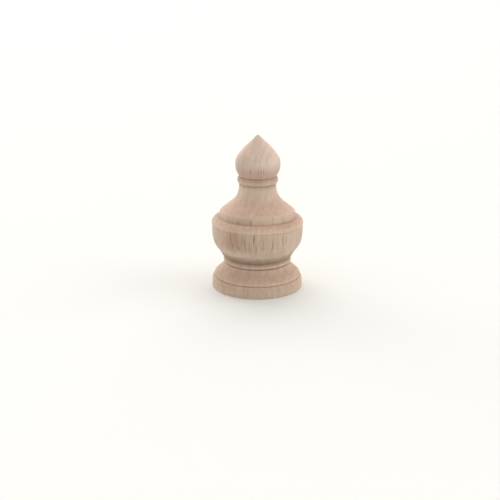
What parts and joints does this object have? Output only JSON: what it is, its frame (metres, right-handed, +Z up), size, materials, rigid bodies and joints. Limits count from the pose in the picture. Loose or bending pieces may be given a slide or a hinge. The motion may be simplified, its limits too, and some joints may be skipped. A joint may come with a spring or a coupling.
{
  "type": "newel post cap",
  "caption": "Turned wooden cap for a stair newel post: moulded foot, bowl-shaped belly, slender neck and a pointed bulb on top, with a blind dowel bore in the flat underside.",
  "frame": {"origin": "centre of the flat underside", "axes": "+Z up the turned axis to the tip, -Z out of the dowel bore"},
  "size_m": [0.0804, 0.0804, 0.1346],
  "materials": {
    "bare_wood": "bare, sanded, fine-grained pale hardwood with short dark pores along the axis"
  },
  "bodies": {
    "root": {"newel_cap": "bare_wood"}
  },
  "joints": []
}
